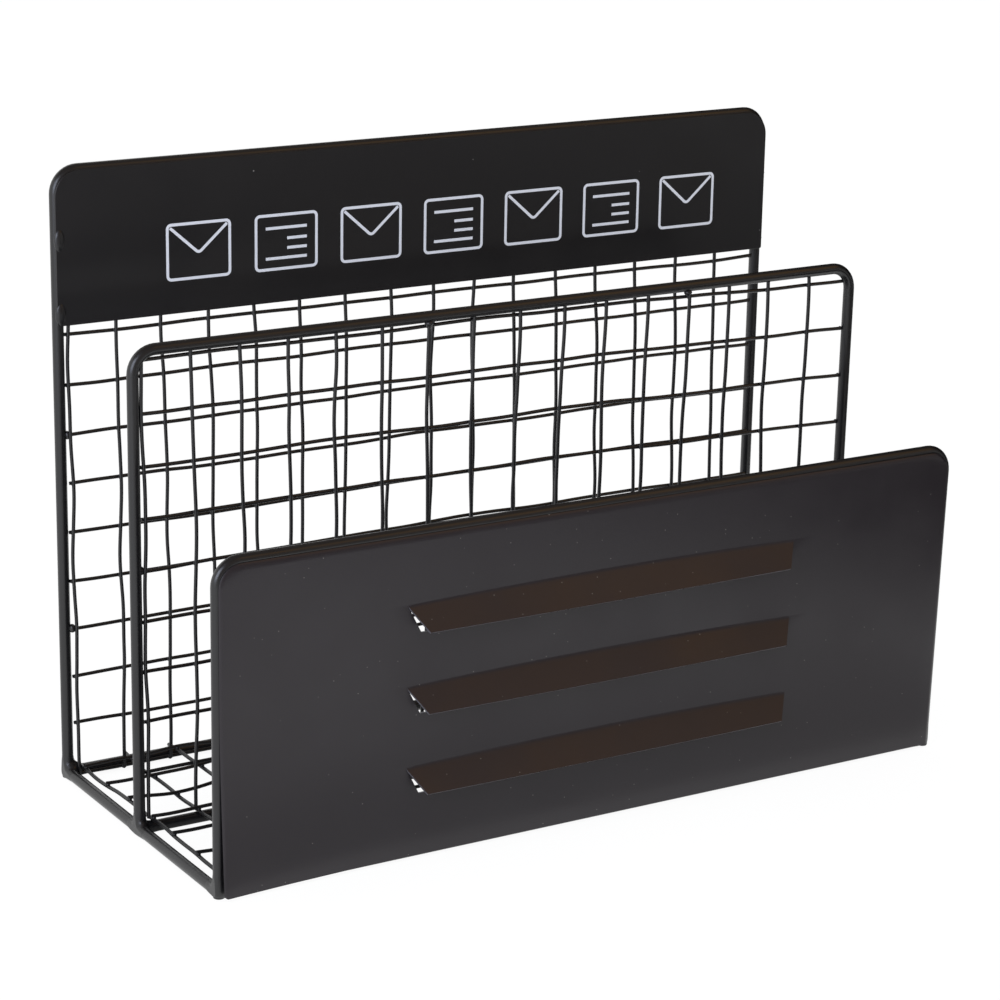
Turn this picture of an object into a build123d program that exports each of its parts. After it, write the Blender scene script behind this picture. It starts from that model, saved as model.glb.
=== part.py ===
from build123d import *
import math
import os

# Wire letter rack. Three bent-rod hoops stand on a rod base. Wire mesh fills the rear hoop, the divider
# hoop and the floor, a plain sheet carries the sign place on the rear hoop, and a sheet with three pressed
# louvres closes the front hoop. Every joint is a weld, and nothing moves.
# Frame in millimetres: X across the width, Y from front to back, Z up, with the origin on the desk in the
# middle of the outline.

# Frame rods
rod_diameter = 4.5
bend_radius = 9.0
leg_spacing = 325.5
rear_to_divider = 67.3
divider_to_front = 67.7
rear_height = 245.5
divider_height = 190.5
front_height = 129.0

# Mesh wires, and the gaps between the left leg and the first wire of a mesh
wire_diameter = 1.5
mesh_pitch = 20.0
rear_cross_pitch = 19.5
rear_mesh_gap = 0.3
divider_mesh_gap = 0.7
wire_pass_gap = 0.15
wire_end_nub = 0.5
base_first_wire = 8.0
upright_tuck = 8.0
rear_top_gap = 3.75
divider_top_gap = 1.75

# Sheet panels
sheet_thickness = 0.9
sign_panel_height = 59.75
sign_top_drop = 1.75
sign_side_overlap = 1.3
sign_foot_radius = 0.8
front_panel_ground = 1.5
front_top_drop = 2.65
front_side_overlap = 0.5
front_foot_radius = 2.5

# Louvres pressed out of the front panel
louvre_count = 3
louvre_pitch = 31.5
louvre_top_z = 100.2
louvre_length = 174.0
louvre_flap = 11.5
louvre_end_slant = 5.8
louvre_angle = 39.0

# Weld beads
frame_weld_radius = 2.0
foot_weld_radius = 1.6
tack_radius = 1.5
edge_tack_radius = 0.9
wire_weld_radius = 1.25
sign_tack_rises = (4.5, 33.0)
front_tack_rise = 10.0

# First cross wire or upright with a tack, and the step to the next, both counted from zero
rear_bridge_first = 3
rear_bridge_step = 4
divider_bridge_first = 4
divider_bridge_step = 8
top_tack_first = 6
top_tack_step = 6

# Turn of each bead's sphere, which keeps its poles and seam off its neighbours
bead_turn = (35, 25, 0)

# Gap between pieces that touch
touch_gap = 0.02

# Values worked out from the sizes above
rod_radius = rod_diameter / 2
wire_radius = wire_diameter / 2
leg_x = leg_spacing / 2
leg_inner_x = leg_x - rod_radius
rear_top_z = rear_height - rod_radius
divider_top_z = divider_height - rod_radius
front_top_z = front_height - rod_radius
bottom_rod_z = rod_radius
rail_top_z = rod_diameter
bend_centre_x = leg_x - bend_radius

louvre_tilt = math.radians(louvre_angle)
louvre_reach = louvre_flap * math.sin(louvre_tilt) + sheet_thickness / 2 * (1 + math.cos(louvre_tilt))
frame_depth = rear_to_divider + divider_to_front
rear_y = (frame_depth + touch_gap + louvre_reach) / 2
divider_y = rear_y - rear_to_divider
front_y = divider_y - divider_to_front

sign_back_y = rear_y - rod_radius - touch_gap
sign_top_z = rear_height - sign_top_drop
sign_bottom_z = sign_top_z - sign_panel_height
front_back_y = front_y - rod_radius - touch_gap

wire_step = wire_diameter + touch_gap
depth_wire_z = rail_top_z + wire_radius + touch_gap
base_cross_z = depth_wire_z + wire_step
floor_top_z = base_cross_z + wire_radius

# Centre of each mesh's first wire. The base wires pass beside the rear uprights on their right.
rear_first_x = -leg_inner_x + rear_mesh_gap + wire_radius
base_first_x = rear_first_x + wire_diameter + wire_pass_gap
divider_first_x = -leg_inner_x + divider_mesh_gap + wire_radius
wire_right_x = leg_inner_x - touch_gap


def bar(start, end, diameter):
    """Straight round bar between two points."""
    axis = Vector(*end) - Vector(*start)
    seat = Plane(origin=start, z_dir=axis)
    return seat * Cylinder(diameter / 2, axis.length, align=(Align.CENTER, Align.CENTER, Align.MIN))


def hoop(y, top_z, foot_z):
    """Rod bent to an upside-down U, with its feet at foot_z."""
    corners = [(-leg_x, y, foot_z), (-leg_x, y, top_z), (leg_x, y, top_z), (leg_x, y, foot_z)]
    path = FilletPolyline(*corners, radius=bend_radius)
    section = Plane(origin=path @ 0, z_dir=path % 0) * Circle(rod_radius)
    return sweep(section, path=path)


def cross_rod(y, half_length):
    """Floor-level rod along X."""
    return bar((-half_length, y, bottom_rod_z), (half_length, y, bottom_rod_z), rod_diameter)


def base_rail(x):
    """Floor-level rod along Y, from the rear leg to the front leg."""
    reach = rod_radius + touch_gap
    return bar((x, rear_y - reach, bottom_rod_z), (x, front_y + reach, bottom_rod_z), rod_diameter)


def under_hoop(top_z, x):
    """Height of a hoop's inner side above the point x, clear of a wire that stands there."""
    across_bend = abs(x) + wire_radius - bend_centre_x
    if across_bend <= 0:
        return top_z - rod_radius
    return top_z - bend_radius + math.sqrt(max((bend_radius - rod_radius) ** 2 - across_bend**2, 0))


def inside_hoop(top_z, z):
    """Half the width inside a hoop at the height z, clear of a wire that lies there."""
    up_bend = z + wire_radius - (top_z - bend_radius)
    if up_bend <= 0:
        return leg_inner_x
    return bend_centre_x + math.sqrt(max((bend_radius - rod_radius) ** 2 - up_bend**2, 0))


def wire_places(first_x):
    """X of each wire of a mesh, from its first wire to the last one clear of the right leg."""
    count = int((leg_inner_x - wire_diameter - first_x) // mesh_pitch) + 1
    return [first_x + number * mesh_pitch for number in range(count)]


def sheet_plane(y):
    """Plane of a sheet whose back face lies at y, facing the front."""
    return Plane(origin=(0, y, 0), x_dir=(1, 0, 0), z_dir=(0, -1, 0))


def sheet(half_width, bottom_z, top_z, corner_radius, foot_radius):
    """Flat sheet with round upper corners and smaller lower ones, drawn in its own plane."""
    outline = Pos(0, (bottom_z + top_z) / 2) * Rectangle(2 * half_width, top_z - bottom_z)
    outline = fillet(outline.vertices().group_by(Axis.Y)[-1], radius=corner_radius)
    outline = fillet(outline.vertices().group_by(Axis.Y)[0], radius=foot_radius)
    return extrude(outline, amount=sheet_thickness)


def louvre_outline():
    """Trapezoid of one louvre, hanging from its bend line at zero height."""
    half = louvre_length / 2
    lower = half - louvre_end_slant
    corners = [(-half, 0), (half, 0), (lower, -louvre_flap), (-lower, -louvre_flap)]
    return make_face(Polyline(*corners, close=True))


def rear_upright_y(z):
    """Y of the rear uprights: behind the sign panel above, in front of the bottom rod below."""
    upper = sign_back_y + wire_radius + touch_gap
    lower = rear_y - rod_radius - wire_radius - wire_step - touch_gap
    share = (z - bottom_rod_z) / (sign_bottom_z - bottom_rod_z)
    return lower + (upper - lower) * share


def weld(centre, radius, bars, sheets=()):
    """Bead of weld metal in the corner between its neighbours, clear of each by the touch gap.

    Each bar is a point on its axis, the axis direction and its diameter. Each sheet is the lowest and the
    highest corner of a flat sheet.
    """
    middle = Vector(*centre)
    cutters = []
    for point, direction, diameter in bars:
        axis = Vector(*direction).normalized()
        nearest = Vector(*point) + axis * (middle - Vector(*point)).dot(axis)
        reach = axis * (2 * radius)
        cutters.append(bar(tuple(nearest - reach), tuple(nearest + reach), diameter + 2 * touch_gap))
    for low, high in sheets:
        size = [top - bottom + 2 * touch_gap for bottom, top in zip(low, high)]
        centre_point = [(bottom + top) / 2 for bottom, top in zip(low, high)]
        cutters.append(Pos(*centre_point) * Box(*size))
    return Pos(*centre) * Rot(*bead_turn) * Sphere(radius) - cutters


def group(pieces):
    """One node of separate solids."""
    return Compound(children=[solid for piece in pieces for solid in piece.solids()])


# Frame rods
nodes = {}
nodes["rear_frame_rod"] = hoop(rear_y, rear_top_z, 0)
nodes["divider_frame_rod"] = hoop(divider_y, divider_top_z, rail_top_z + touch_gap)
nodes["front_frame_rod"] = hoop(front_y, front_top_z, 0)
nodes["rear_bottom_rod"] = cross_rod(rear_y, leg_inner_x - touch_gap)
nodes["divider_bottom_rod"] = cross_rod(divider_y, leg_inner_x - touch_gap)
nodes["front_bottom_rod"] = cross_rod(front_y, leg_inner_x - touch_gap)
nodes["left_base_rail"] = base_rail(-leg_x)
nodes["right_base_rail"] = base_rail(leg_x)

# Sign panel on the front of the rear hoop
sign_half_width = leg_x + sign_side_overlap
sign_corner_radius = bend_radius + sign_side_overlap
sign_blank = sheet(sign_half_width, sign_bottom_z, sign_top_z, sign_corner_radius, sign_foot_radius)
nodes["sign_panel"] = sheet_plane(sign_back_y) * sign_blank

# Front panel with its louvres
front_half_width = leg_x + front_side_overlap
front_sheet_top_z = front_height - front_top_drop
front_blank = sheet(front_half_width, front_panel_ground, front_sheet_top_z, bend_radius, front_foot_radius)
for number in range(louvre_count):
    bend_line = Pos(0, louvre_top_z - number * louvre_pitch, 0)
    front_blank = front_blank - bend_line * extrude(louvre_outline(), amount=sheet_thickness)
    flap = extrude(louvre_outline(), amount=sheet_thickness / 2, both=True)
    swing = Pos(0, 0, sheet_thickness / 2) * Rot(-louvre_angle, 0, 0)
    front_blank = front_blank + bend_line * swing * flap
nodes["front_panel"] = sheet_plane(front_back_y) * front_blank

# Rear mesh: uprights in front, cross wires behind them
rear_xs = wire_places(rear_first_x)
rear_upright_top_z = sign_bottom_z + upright_tuck
rear_uprights = []
rear_upright_axes = []
for x in rear_xs:
    foot = (x, rear_upright_y(bottom_rod_z), bottom_rod_z)
    tip = (x, rear_upright_y(rear_upright_top_z), rear_upright_top_z)
    rear_uprights.append(bar(foot, tip, wire_diameter))
    rear_upright_axes.append((foot, tuple(Vector(*tip) - Vector(*foot)), wire_diameter))
nodes["rear_mesh_uprights"] = group(rear_uprights)

rear_top_cross_z = sign_bottom_z - rear_top_gap - wire_radius
rear_cross_count = int((rear_top_cross_z - floor_top_z - wire_diameter) // rear_cross_pitch) + 1
rear_cross_zs = [rear_top_cross_z - number * rear_cross_pitch for number in range(rear_cross_count)]
rear_cross_zs.append(bottom_rod_z)
rear_cross_ends = []
for number, z in enumerate(reversed(rear_cross_zs)):
    y = rear_upright_y(z) + wire_step
    left_end = (max(rear_first_x - wire_radius - wire_end_nub, -wire_right_x), y, z)
    right_end = (wire_right_x, y, z)
    rear_cross_ends.append((left_end, right_end))
    nodes[f"rear_mesh_cross_wire_{number + 1:02d}"] = bar(left_end, right_end, wire_diameter)

# Divider mesh: uprights in front, cross wires behind them
divider_xs = wire_places(divider_first_x)
divider_upright_y = divider_y - wire_step / 2
divider_cross_y = divider_y + wire_step / 2
divider_uprights = []
divider_upright_axes = []
for x in divider_xs:
    foot = (x, divider_upright_y, floor_top_z + touch_gap)
    tip = (x, divider_upright_y, under_hoop(divider_top_z, x) - touch_gap)
    divider_uprights.append(bar(foot, tip, wire_diameter))
    divider_upright_axes.append((foot, (0, 0, 1), wire_diameter))
nodes["divider_mesh_uprights"] = group(divider_uprights)

first_cross_z = divider_top_z - rod_radius - divider_top_gap - wire_radius
divider_cross_count = int((first_cross_z - floor_top_z - wire_diameter) // mesh_pitch) + 1
divider_cross_ends = []
for number in range(divider_cross_count):
    z = first_cross_z - number * mesh_pitch
    reach = inside_hoop(divider_top_z, z) - touch_gap
    left_x = max(divider_first_x - wire_radius - wire_end_nub, -reach)
    left_end = (left_x, divider_cross_y, z)
    right_end = (reach, divider_cross_y, z)
    divider_cross_ends.append((left_end, right_end))
    nodes[f"divider_mesh_cross_wire_{number + 1:02d}"] = bar(left_end, right_end, wire_diameter)

# Base mesh: depth wires on the bottom rods, cross wires on the depth wires
base_xs = wire_places(base_first_x)
depth_wires = []
for x in base_xs:
    depth_wires.append(bar((x, rear_y, depth_wire_z), (x, front_y, depth_wire_z), wire_diameter))
nodes["base_mesh_depth_wires"] = group(depth_wires)

base_last_y = front_y + rod_radius + wire_diameter
base_first_y = rear_y - base_first_wire
base_cross_count = int((base_first_y - base_last_y) // mesh_pitch) + 1
for number in range(base_cross_count):
    y = base_first_y - number * mesh_pitch
    left_end = (base_first_x - wire_radius, y, base_cross_z)
    right_end = (wire_right_x, y, base_cross_z)
    nodes[f"base_mesh_cross_wire_{number + 1:02d}"] = bar(left_end, right_end, wire_diameter)

# Weld beads where the frame rods meet: the rails and the cross rods against the legs, the divider's feet
# on the rails and its cross rod between them
across = (1, 0, 0)
along = (0, 1, 0)
upward = (0, 0, 1)
corner_welds = []
for side in (-1, 1):
    x = side * leg_x
    rail = ((x, 0, bottom_rod_z), along, rod_diameter)
    first_wire = ((base_first_x, 0, depth_wire_z), along, wire_diameter)
    for y, inward in ((rear_y, -1), (front_y, 1)):
        leg = ((x, y, 0), upward, rod_diameter)
        rod = ((0, y, bottom_rod_z), across, rod_diameter)
        rail_corner = (x, y + inward * rod_radius, rail_top_z)
        rod_corner = (side * leg_inner_x, y, rail_top_z)
        corner_welds.append(weld(rail_corner, frame_weld_radius, (leg, rail)))
        corner_welds.append(weld(rod_corner, frame_weld_radius, (leg, rod, rail, first_wire)))
    leg = ((x, divider_y, 0), upward, rod_diameter)
    for inward in (-1, 1):
        foot_corner = (x, divider_y + inward * rod_radius, rail_top_z)
        corner_welds.append(weld(foot_corner, foot_weld_radius, (leg, rail)))
nodes["frame_corner_welds"] = group(corner_welds)

# Tacks that hold the sign panel's side edges and the front panel's back to the legs
sign_low = (-sign_half_width, sign_back_y - sheet_thickness, sign_bottom_z)
sign_high = (sign_half_width, sign_back_y, sign_top_z)
front_low = (-front_half_width, front_back_y - sheet_thickness, front_panel_ground)
front_high = (front_half_width, front_back_y, front_sheet_top_z)
sign_welds = []
front_welds = []
for side in (-1, 1):
    rear_leg = ((side * leg_x, rear_y, 0), upward, rod_diameter)
    front_leg = ((side * leg_x, front_y, 0), upward, rod_diameter)
    for rise in sign_tack_rises:
        edge = (side * sign_half_width, sign_back_y, sign_bottom_z + rise)
        sign_welds.append(weld(edge, edge_tack_radius, (rear_leg,), ((sign_low, sign_high),)))
    for z in (front_panel_ground + front_tack_rise, front_top_z - bend_radius - front_tack_rise):
        corner = (side * leg_inner_x, front_back_y + sheet_thickness, z)
        front_welds.append(weld(corner, tack_radius, (front_leg,), ((front_low, front_high),)))
nodes["sign_panel_welds"] = group(sign_welds)
nodes["front_panel_welds"] = group(front_welds)


def mesh_tacks(cross_ends, bridged, first_upright, y):
    """Tacks of one standing mesh: each cross wire on the right leg, and some bridged to the left leg."""
    left_leg = ((-leg_x, y, 0), upward, rod_diameter)
    right_leg = ((leg_x, y, 0), upward, rod_diameter)
    tacks = []
    for left_end, right_end in cross_ends:
        tip = (right_end[0] - wire_radius, right_end[1], right_end[2])
        tacks.append(weld(tip, wire_weld_radius, ((right_end, across, wire_diameter), right_leg)))
    for left_end, right_end in bridged:
        bridge = (-leg_inner_x, left_end[1], left_end[2])
        neighbours = ((left_end, across, wire_diameter), first_upright, left_leg)
        tacks.append(weld(bridge, tack_radius, neighbours))
    return tacks


rear_bridged = rear_cross_ends[rear_bridge_first::rear_bridge_step]
nodes["rear_mesh_welds"] = group(
    mesh_tacks(rear_cross_ends[1:], rear_bridged, rear_upright_axes[0], rear_y)
)
top_tacks = []
top_rod = ((0, divider_y, divider_top_z), across, rod_diameter)
top_wire = (divider_cross_ends[0][0], across, wire_diameter)
for upright in divider_upright_axes[top_tack_first::top_tack_step]:
    tip = (upright[0][0], divider_upright_y, divider_top_z - rod_radius)
    top_tacks.append(weld(tip, tack_radius, (upright, top_wire, top_rod)))
divider_bridged = divider_cross_ends[divider_bridge_first::divider_bridge_step]
nodes["divider_mesh_welds"] = group(
    mesh_tacks(divider_cross_ends[1:], divider_bridged, divider_upright_axes[0], divider_y) + top_tacks
)

os.makedirs("parts", exist_ok=True)
for name, piece in nodes.items():
    export_step(piece, f"parts/{name}.step")
    print(name, len(piece.solids()), round(piece.volume, 1))
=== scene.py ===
"""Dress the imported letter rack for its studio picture.

The rack is three bent rods on a rod base, filled with welded wire mesh. A plain sheet crosses the top of the
back and a louvred sheet closes the front. Every piece is drawn in metres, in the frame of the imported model.
"""

import logging
import math
from dataclasses import dataclass, field
from enum import Enum
from typing import Any, Mapping, Sequence

import bmesh
import bpy
from mathutils import Matrix, Vector


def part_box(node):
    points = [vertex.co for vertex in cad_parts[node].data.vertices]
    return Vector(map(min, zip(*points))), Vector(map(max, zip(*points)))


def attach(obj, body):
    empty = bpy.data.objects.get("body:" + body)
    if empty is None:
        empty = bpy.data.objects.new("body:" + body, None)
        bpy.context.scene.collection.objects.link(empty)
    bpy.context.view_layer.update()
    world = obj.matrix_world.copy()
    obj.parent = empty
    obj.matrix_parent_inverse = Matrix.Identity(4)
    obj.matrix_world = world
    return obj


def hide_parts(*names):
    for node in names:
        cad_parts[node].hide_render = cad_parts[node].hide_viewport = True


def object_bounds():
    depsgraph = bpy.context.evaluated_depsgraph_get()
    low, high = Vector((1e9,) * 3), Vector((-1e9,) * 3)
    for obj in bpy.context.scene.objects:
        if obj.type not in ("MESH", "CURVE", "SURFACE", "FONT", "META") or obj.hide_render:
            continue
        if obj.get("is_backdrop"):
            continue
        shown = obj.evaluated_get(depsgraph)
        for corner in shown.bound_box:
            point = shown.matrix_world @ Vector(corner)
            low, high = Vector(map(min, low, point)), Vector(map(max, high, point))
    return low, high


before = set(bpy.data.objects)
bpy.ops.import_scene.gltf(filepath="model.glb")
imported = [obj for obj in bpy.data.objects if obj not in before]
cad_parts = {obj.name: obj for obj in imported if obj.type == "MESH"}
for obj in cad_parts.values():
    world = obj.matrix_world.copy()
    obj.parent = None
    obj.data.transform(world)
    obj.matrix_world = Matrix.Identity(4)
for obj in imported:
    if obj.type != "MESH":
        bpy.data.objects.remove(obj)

LOG = logging.getLogger("letter_rack")
MM = 0.001
Point = tuple[float, float, float]

# Places closer together than this are the same place
TOUCH = 0.1 * MM

# How far the front right foot is pulled in, and how fast the pull fades up the leg
FOOT_PULL = 2.9 * MM
FOOT_PULL_FADE = 1.4

# Noise seldom strays further than this from its middle
NOISE_REACH = 0.25


class Body(Enum):
    """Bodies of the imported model. The rack is one welded body."""

    RACK = "root"


class Slot(Enum):
    """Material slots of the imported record."""

    ROD = "frame_rod"
    WIRE = "mesh_wire"
    SIGN = "sign_sheet"
    FRONT = "front_sheet"
    WELD = "weld_bead"


class Lie(Enum):
    """How a wire mesh is set up: upright between two legs, or flat on the base rods."""

    STANDING = "standing"
    FLAT = "flat"


class SocketKind(Enum):
    """Kinds of named input that a shape tree takes."""

    LENGTH = "NodeSocketFloat"
    COUNT = "NodeSocketInt"
    VECTOR = "NodeSocketVector"
    MATERIAL = "NodeSocketMaterial"


def linear(hex_code: str) -> tuple[float, float, float, float]:
    """Turn an sRGB hex colour into linear light.

    Args:
        hex_code: Colour such as "#2a292c".

    Returns:
        Red, green, blue and full opacity, in linear light.
    """
    shares = [int(hex_code[place:place + 2], 16) / 255 for place in (1, 3, 5)]
    light = [share / 12.92 if share <= 0.04045 else ((share + 0.055) / 1.055) ** 2.4 for share in shares]
    return (light[0], light[1], light[2], 1.0)


def clamp(share: float) -> float:
    """Keep a share between none and all."""
    return min(max(share, 0.0), 1.0)


def add_node(tree: bpy.types.NodeTree, kind: str, inputs: dict | None = None,
             **settings: Any) -> bpy.types.Node:
    """Add a node with its settings, its values and its links.

    Args:
        tree: Tree that takes the node.
        kind: Blender's type name of the node.
        inputs: Socket names or numbers, each with a value or with the socket that feeds it. A node stands for
            its first open output, and a list feeds a socket that takes several.
        **settings: Properties of the node itself.

    Returns:
        The new node.
    """
    node = tree.nodes.new(kind)
    for name, value in settings.items():
        setattr(node, name, value)
    for key, given in (inputs or {}).items():
        for value in given if isinstance(given, list) else [given]:
            if isinstance(value, bpy.types.Node):
                value = next(socket for socket in value.outputs if socket.enabled)
            if isinstance(value, bpy.types.NodeSocket):
                tree.links.new(value, node.inputs[key])
            else:
                node.inputs[key].default_value = value
    return node


def empty_material(name: str) -> bpy.types.Material:
    """Make a material whose tree has no nodes yet.

    Args:
        name: Name of the material.

    Returns:
        The new material.
    """
    material = bpy.data.materials.new(name)
    material.use_nodes = True
    material.node_tree.nodes.clear()
    return material


@dataclass(frozen=True)
class PowderCoat:
    """Satin black powder coat, sprayed on dry and baked.

    The bake leaves a fine orange-peel skin, slow changes of tone where the coat is thicker, and a few pale
    dust nibs caught in it.
    """

    name: str
    colour: str
    thin_colour: str
    roughness: float
    roughness_spread: float = 0.06
    specular: float = 0.5
    ior: float = 1.5
    peel_mm: float = 1.1
    peel_height_mm: float = 0.012
    tone_mm: float = 42.0
    nib_mm: float = 9.0
    nib_size: float = 0.038
    nib_share: float = 0.0
    nib_colour: str = "#8d8a88"

    def material(self) -> bpy.types.Material:
        """Build the coat's material, or hand back the one that is there."""
        return bpy.data.materials.get(self.name) or self._build()

    def _build(self) -> bpy.types.Material:
        """Lay out the nodes of the coat.

        Returns:
            The new material.
        """
        material = empty_material(self.name)
        tree = material.node_tree
        place = add_node(tree, "ShaderNodeTexCoord").outputs["Object"]
        tone = add_node(tree, "ShaderNodeTexNoise", {
            "Vector": place, "Scale": 1 / (self.tone_mm * MM), "Detail": 3.0, "Roughness": 0.6})
        colour = add_node(tree, "ShaderNodeMix", {
            0: tone, "A": linear(self.colour), "B": linear(self.thin_colour)}, data_type="RGBA")
        if self.nib_share > 0:
            colour = self._with_nibs(tree, place, colour)
        rough = add_node(tree, "ShaderNodeMapRange", {
            "Value": tone, "From Min": 0.3, "From Max": 0.7, "To Min": self.roughness - self.roughness_spread,
            "To Max": self.roughness + self.roughness_spread})
        peel = add_node(tree, "ShaderNodeTexNoise", {
            "Vector": place, "Scale": 1 / (self.peel_mm * MM), "Detail": 2.0, "Roughness": 0.5})
        bump = add_node(tree, "ShaderNodeBump", {
            "Height": peel, "Strength": 1.0, "Distance": self.peel_height_mm * MM})
        shader = add_node(tree, "ShaderNodeBsdfPrincipled", {
            "Base Color": colour, "Roughness": rough, "Normal": bump, "IOR": self.ior,
            "Specular IOR Level": self.specular})
        add_node(tree, "ShaderNodeOutputMaterial", {"Surface": shader})
        return material

    def _with_nibs(self, tree: bpy.types.NodeTree, place: bpy.types.NodeSocket,
                   colour: bpy.types.Node) -> bpy.types.Node:
        """Scatter pale dust nibs over a colour.

        Args:
            tree: Tree of the coat.
            place: Object coordinates.
            colour: Node of the colour without nibs.

        Returns:
            Node of the colour with nibs.
        """
        cells = add_node(tree, "ShaderNodeTexVoronoi", {"Vector": place, "Scale": 1 / (self.nib_mm * MM)})
        lot = add_node(tree, "ShaderNodeSeparateColor", {"Color": cells.outputs["Color"]})
        taken = add_node(tree, "ShaderNodeMath", {0: lot, 1: self.nib_share}, operation="LESS_THAN")
        near = add_node(tree, "ShaderNodeMapRange", {
            "Value": cells, "From Min": self.nib_size, "From Max": self.nib_size / 2})
        both = add_node(tree, "ShaderNodeMath", {0: taken, 1: near}, operation="MULTIPLY")
        return add_node(tree, "ShaderNodeMix", {
            0: both, "A": colour, "B": linear(self.nib_colour)}, data_type="RGBA")


@dataclass(frozen=True)
class ScreenInk:
    """White screen-print ink, matt, with the weave of the screen left faintly in its film.

    A real screen is woven too fine to show, so the weave is drawn as coarse as screen_mm.
    """

    name: str = "matt_white_screen_ink"
    colour: str = "#dfe2ea"
    thin_colour: str = "#d3d6df"
    roughness: float = 0.6
    screen_mm: float = 0.9

    def material(self) -> bpy.types.Material:
        """Build the ink's material.

        Returns:
            The new material.
        """
        material = empty_material(self.name)
        tree = material.node_tree
        place = add_node(tree, "ShaderNodeTexCoord").outputs["Object"]
        film = add_node(tree, "ShaderNodeTexNoise", {
            "Vector": place, "Scale": 1 / (self.screen_mm * MM), "Detail": 2.0})
        colour = add_node(tree, "ShaderNodeMix", {
            0: film, "A": linear(self.colour), "B": linear(self.thin_colour)}, data_type="RGBA")
        shader = add_node(tree, "ShaderNodeBsdfPrincipled", {
            "Base Color": colour, "Roughness": self.roughness})
        add_node(tree, "ShaderNodeOutputMaterial", {"Surface": shader})
        return material


# Rods, wires and welds have the same black, and its satin draws a bright line along round steel
ROD_COAT = PowderCoat("satin_black_rod_coat", "#0f0f11", "#151517", 0.32, specular=0.65)
WIRE_COAT = PowderCoat("satin_black_wire_coat", "#0f0f11", "#151517", 0.36, specular=0.6)
WELD_COAT = PowderCoat("satin_black_weld_coat", "#0f0f11", "#161618", 0.36, specular=0.65, peel_mm=0.8)

# The sheets have a soft sheen, greyer on the front with its many nibs. Their cut edges get a pale coat of
# their own, a painted highlight where the edges catch the light
SIGN_COAT = PowderCoat("satin_black_sign_coat", "#111013", "#151417", 0.36, nib_share=0.1)
FRONT_COAT = PowderCoat("satin_charcoal_front_coat", "#1d181d", "#221d22", 0.34, peel_height_mm=0.02,
                        nib_mm=4.0, nib_size=0.06, nib_share=0.7, nib_colour="#77736f")
CUT_EDGE_HIGHLIGHT_COAT = PowderCoat("painted_highlight_on_cut_edges", "#504e53", "#656368", 0.3)

# The ink stays an even, dull white from every side, against the sheen of the sheet under it
SIGN_INK = ScreenInk()


class ShapeTree:
    """Geometry Nodes tree with named inputs, which turns a carrier mesh into a finished plain mesh."""

    def __init__(self, name: str) -> None:
        """Start an empty tree.

        Args:
            name: Name of the tree.
        """
        self.tree = bpy.data.node_groups.new(name, "GeometryNodeTree")
        for socket, side in (("Shape", "OUTPUT"), ("Carrier", "INPUT")):
            self.tree.interface.new_socket(socket, in_out=side, socket_type="NodeSocketGeometry")
        self.entry = self.tree.nodes.new("NodeGroupInput")
        self.identifiers: dict[str, str] = {}

    @property
    def carrier(self) -> bpy.types.NodeSocket:
        """Geometry of the carrier mesh."""
        return self.entry.outputs["Carrier"]

    def size(self, name: str, kind: SocketKind = SocketKind.LENGTH) -> bpy.types.NodeSocket:
        """Add a named input.

        Args:
            name: Name of the input.
            kind: Kind of value that it takes.

        Returns:
            Socket that gives the value inside the tree.
        """
        socket = self.tree.interface.new_socket(name, in_out="INPUT", socket_type=kind.value)
        self.identifiers[name] = socket.identifier
        return self.entry.outputs[name]

    def add(self, kind: str, inputs: dict | None = None, **settings: Any) -> bpy.types.Node:
        """Add a node to this tree, as add_node does."""
        return add_node(self.tree, kind, inputs, **settings)

    def close(self, geometry: bpy.types.Node) -> None:
        """End the tree: real geometry, smooth faces and the finish that the input Finish names.

        Args:
            geometry: Node that gives what the tree has made.
        """
        finish = self.size("Finish", SocketKind.MATERIAL)
        real = self.add("GeometryNodeRealizeInstances", {"Geometry": geometry})
        smooth = self.add("GeometryNodeSetShadeSmooth", {"Geometry": real})
        dressed = self.add("GeometryNodeSetMaterial", {"Geometry": smooth, "Material": finish})
        self.add("NodeGroupOutput", {"Shape": dressed})

    def bake(self, name: str, carrier: bpy.types.Mesh, values: dict[str, Any]) -> bpy.types.Object:
        """Run the tree once on a carrier and keep the result as a plain mesh.

        Args:
            name: Name of the finished piece.
            carrier: Mesh that the tree starts from.
            values: Value of each named input.

        Returns:
            The finished piece, at the origin.
        """
        holder = place_piece(f"{name}_carrier", carrier)
        modifier = holder.modifiers.new("shape", "NODES")
        modifier.node_group = self.tree
        for key, value in values.items():
            modifier[self.identifiers[key]] = value
        return keep_result(name, holder)


def place_piece(name: str, mesh: bpy.types.Mesh) -> bpy.types.Object:
    """Link a finished mesh to the scene as a piece at the origin.

    Args:
        name: Name of the piece.
        mesh: Mesh with its place in its points.

    Returns:
        The new object.
    """
    piece = bpy.data.objects.new(name, mesh)
    bpy.context.scene.collection.objects.link(piece)
    return piece


def keep_result(name: str, holder: bpy.types.Object) -> bpy.types.Object:
    """Turn what an object's modifiers make of it into a plain piece, and remove the object.

    Args:
        name: Name of the piece.
        holder: Object with its modifiers.

    Returns:
        The piece, at the origin.
    """
    raw = holder.data
    mesh = bpy.data.meshes.new_from_object(holder.evaluated_get(bpy.context.evaluated_depsgraph_get()))
    holder.modifiers.clear()
    bpy.data.objects.remove(holder)
    bpy.data.meshes.remove(raw)
    mesh.name = name
    return place_piece(name, mesh)


def mesh_piece(name: str, shape: bmesh.types.BMesh, *coats: PowderCoat) -> bpy.types.Object:
    """Turn a drawn shape into a smooth piece with its coats.

    Args:
        name: Name of the piece.
        shape: Shape, which is used up.
        *coats: Coats in the order of the piece's material slots.

    Returns:
        The piece, at the origin.
    """
    mesh = bpy.data.meshes.new(name)
    shape.to_mesh(mesh)
    shape.free()
    mesh.shade_smooth()
    for coat in coats:
        mesh.materials.append(coat.material())
    return place_piece(name, mesh)


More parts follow.
